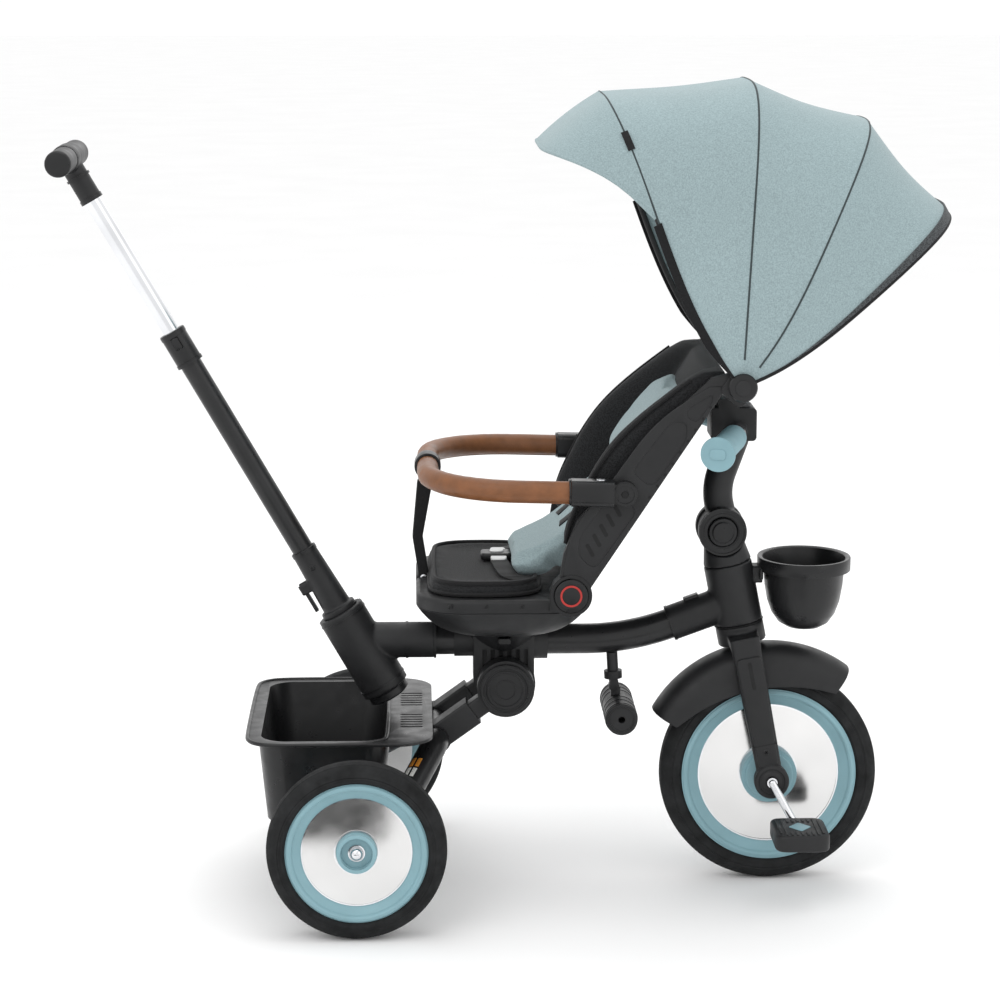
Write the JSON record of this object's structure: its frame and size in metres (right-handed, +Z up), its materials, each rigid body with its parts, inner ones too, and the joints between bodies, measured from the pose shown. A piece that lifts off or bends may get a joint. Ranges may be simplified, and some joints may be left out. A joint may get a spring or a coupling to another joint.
{
  "type": "folding push tricycle",
  "caption": "Folding push tricycle: rear-facing reclining padded seat, folding canopy, telescoping parent handle, front pedals, baskets.",
  "frame": {"origin": "on the ground, half way along and across the whole tricycle at rest", "axes": "+X forwards to the front wheel, +Y to the left of the frame, +Z up"},
  "size_m": [1.0178, 0.473, 0.9416],
  "materials": {
    "frame_plastic": "fine moulded grain, matte black",
    "frame_tube": "satin black powder coat",
    "chrome": "polished",
    "teal_plastic": "satin grey-teal",
    "black_gloss": "semi-matte black",
    "mirror_disc": "vacuum-metallised",
    "tyre": "foamed tread, matte",
    "leather": "brown leatherette, stitched",
    "teal_fabric": "heathered woven polyester, grey-teal",
    "mesh_fabric": "black spacer mesh"
  },
  "bodies": {
    "frame": {"main_tube": "frame_tube", "head_housing": "frame_plastic", "head_bushes": "frame_plastic", "rear_housing": "frame_plastic", "centre_bracket": "frame_plastic", "footrest_post": "frame_plastic", "front_basket": "black_gloss"},
    "fork": {"fork": "frame_plastic", "front_fender": "frame_plastic", "head_cap": "frame_plastic"},
    "front_wheel": {"front_tyre": "tyre", "front_rim": "teal_plastic", "front_discs": "mirror_disc", "crank_axle": "chrome"},
    "pedal_left": {"pedal_left": "black_gloss"},
    "pedal_right": {"pedal_right": "black_gloss"},
    "stem": {"stem_tube": "frame_plastic", "stem_clamp": "frame_plastic", "handlebar": "chrome", "handlebar_grips": "teal_plastic"},
    "stem_button": {"stem_button": "frame_plastic"},
    "push_head": {"push_socket": "frame_plastic", "push_outer_tube": "frame_tube", "push_collar": "frame_plastic"},
    "push_inner": {"push_inner_tube": "chrome", "push_grip": "leather"},
    "push_button": {"push_button": "frame_plastic"},
    "push_lever": {"push_lever": "frame_plastic"},
    "rear_frame": {"rear_legs": "frame_plastic", "arch_tube": "frame_tube", "fold_pin": "teal_plastic", "rear_axles": "chrome", "rear_basket": "black_gloss"},
    "rear_wheel_left": {"rear_tyre_left": "tyre", "rear_rim_left": "teal_plastic", "rear_discs_left": "mirror_disc"},
    "rear_wheel_right": {"rear_tyre_right": "tyre", "rear_rim_right": "teal_plastic", "rear_discs_right": "mirror_disc"},
    "footrest": {"footrest": "frame_plastic"},
    "seat": {"seat_cover": "frame_plastic", "seat_pan": "frame_plastic", "seat_cushion": "teal_fabric"},
    "seat_latch": {"seat_latch": "frame_plastic"},
    "backrest": {"backrest_shell": "frame_plastic", "backrest_pad": "mesh_fabric", "head_cushion": "teal_fabric", "body_cushion": "teal_fabric"},
    "recline_button_left": {"recline_button_left": "frame_plastic"},
    "recline_button_right": {"recline_button_right": "frame_plastic"},
    "bumper": {"bumper_bar": "leather", "bumper_fittings": "frame_plastic"},
    "crotch_strap": {"crotch_strap": "teal_fabric"},
    "canopy_rear": {"canopy_rear": "teal_fabric", "canopy_bow_rear": "frame_plastic"},
    "canopy_middle": {"canopy_middle": "teal_fabric", "canopy_bow_middle": "frame_plastic"},
    "canopy_front": {"canopy_front": "teal_fabric", "canopy_bow_front": "frame_plastic"}
  },
  "joints": [
    {"name": "steer", "type": "hinge", "parent": "frame", "child": "fork", "pos_m": [0.313, 0, 0.127], "axis": [-0.1959, 0, 0.9806], "range_deg": [-10, 10]},
    {"name": "push_steer", "type": "hinge", "parent": "frame", "child": "push_head", "pos_m": [-0.1332, 0, 0.23], "axis": [-0.5, 0, 0.866], "range_deg": [-10, 10]},
    {"name": "push_extend", "type": "slide", "parent": "push_head", "child": "push_inner", "axis": [-0.5, 0, 0.866], "range_m": [-0.17, 0]},
    {"name": "push_button", "type": "slide", "parent": "push_head", "child": "push_button", "axis": [0, 1, 0], "range_m": [0, 0.003], "stiffness_N_per_m": 400},
    {"name": "push_lever", "type": "hinge", "parent": "push_head", "child": "push_lever", "pos_m": [-0.22744, 0, 0.34822], "axis": [0, 1, 0], "range_deg": [0, 20], "stiffness_Nm_per_rad": 0.05},
    {"name": "front_wheel", "type": "hinge", "parent": "fork", "child": "front_wheel", "pos_m": [0.313, 0, 0.127], "axis": [0, 1, 0], "continuous": true},
    {"name": "pedal_left", "type": "hinge", "parent": "front_wheel", "child": "pedal_left", "pos_m": [0.28731, 0.111, 0.17335], "axis": [0, 1, 0], "continuous": true},
    {"name": "pedal_right", "type": "hinge", "parent": "front_wheel", "child": "pedal_right", "pos_m": [0.33869, -0.111, 0.08065], "axis": [0, 1, 0], "continuous": true},
    {"name": "stem_fold", "type": "hinge", "parent": "fork", "child": "stem", "pos_m": [0.25515, 0, 0.4165], "axis": [0, 1, 0], "range_deg": [0, 70]},
    {"name": "stem_button", "type": "slide", "parent": "stem", "child": "stem_button", "axis": [0, 1, 0], "range_m": [0, 0.002], "stiffness_N_per_m": 600},
    {"name": "frame_fold", "type": "hinge", "parent": "frame", "child": "rear_frame", "pos_m": [0.0045, 0, 0.24], "axis": [0, 1, 0], "range_deg": [-75, 0]},
    {"name": "rear_wheel_left", "type": "hinge", "parent": "rear_frame", "child": "rear_wheel_left", "pos_m": [-0.165, 0.215, 0.1], "axis": [0, 1, 0], "continuous": true},
    {"name": "rear_wheel_right", "type": "hinge", "parent": "rear_frame", "child": "rear_wheel_right", "pos_m": [-0.165, -0.215, 0.1], "axis": [0, 1, 0], "continuous": true},
    {"name": "seat_turn", "type": "hinge", "parent": "frame", "child": "seat", "pos_m": [0.003, 0, 0.307], "axis": [0, 0, 1], "range_deg": [-4, 4]},
    {"name": "seat_latch", "type": "slide", "parent": "frame", "child": "seat_latch", "axis": [0, 1, 0], "range_m": [0, 0.003], "stiffness_N_per_m": 300},
    {"name": "recline", "type": "hinge", "parent": "seat", "child": "backrest", "pos_m": [0.074, 0, 0.371], "axis": [0, 1, 0], "range_deg": [-20, 0]},
    {"name": "recline_button_left", "type": "slide", "parent": "backrest", "child": "recline_button_left", "axis": [0, -1, 0], "range_m": [0, 0.003], "stiffness_N_per_m": 500},
    {"name": "recline_button_right", "type": "slide", "parent": "backrest", "child": "recline_button_right", "axis": [0, 1, 0], "range_m": [0, 0.003], "stiffness_N_per_m": 500},
    {"name": "bumper_level", "type": "hinge", "parent": "backrest", "child": "bumper", "pos_m": [0.132, 0, 0.4875], "axis": [0, 1, 0], "range_deg": [0, 20]},
    {"name": "strap_tilt", "type": "hinge", "parent": "seat", "child": "crotch_strap", "pos_m": [-0.089, 0, 0.3615], "axis": [0, 1, 0], "range_deg": [-18, 0]},
    {"name": "canopy_fold_rear", "type": "hinge", "parent": "backrest", "child": "canopy_rear", "pos_m": [0.26099, 0, 0.6046], "axis": [0, 1, 0], "range_deg": [0, 22]},
    {"name": "canopy_fold_middle", "type": "hinge", "parent": "canopy_rear", "child": "canopy_middle", "pos_m": [0.26099, 0, 0.6046], "axis": [0, 1, 0], "range_deg": [0, 22]},
    {"name": "canopy_fold_front", "type": "hinge", "parent": "canopy_middle", "child": "canopy_front", "pos_m": [0.26099, 0, 0.6046], "axis": [0, 1, 0], "range_deg": [0, 22]},
    {"name": "footrest_fold", "type": "hinge", "parent": "frame", "child": "footrest", "pos_m": [0.132, 0, 0.231], "axis": [0, 1, 0], "range_deg": [0, 80]}
  ],
  "couplings": [
    {"joint": "push_steer", "follows": "steer", "ratio": 1},
    {"joint": "bumper_level", "follows": "recline", "ratio": -1},
    {"joint": "strap_tilt", "follows": "recline", "ratio": 0.88},
    {"joint": "canopy_fold_middle", "follows": "canopy_fold_rear", "ratio": 1},
    {"joint": "canopy_fold_front", "follows": "canopy_fold_rear", "ratio": 1}
  ]
}
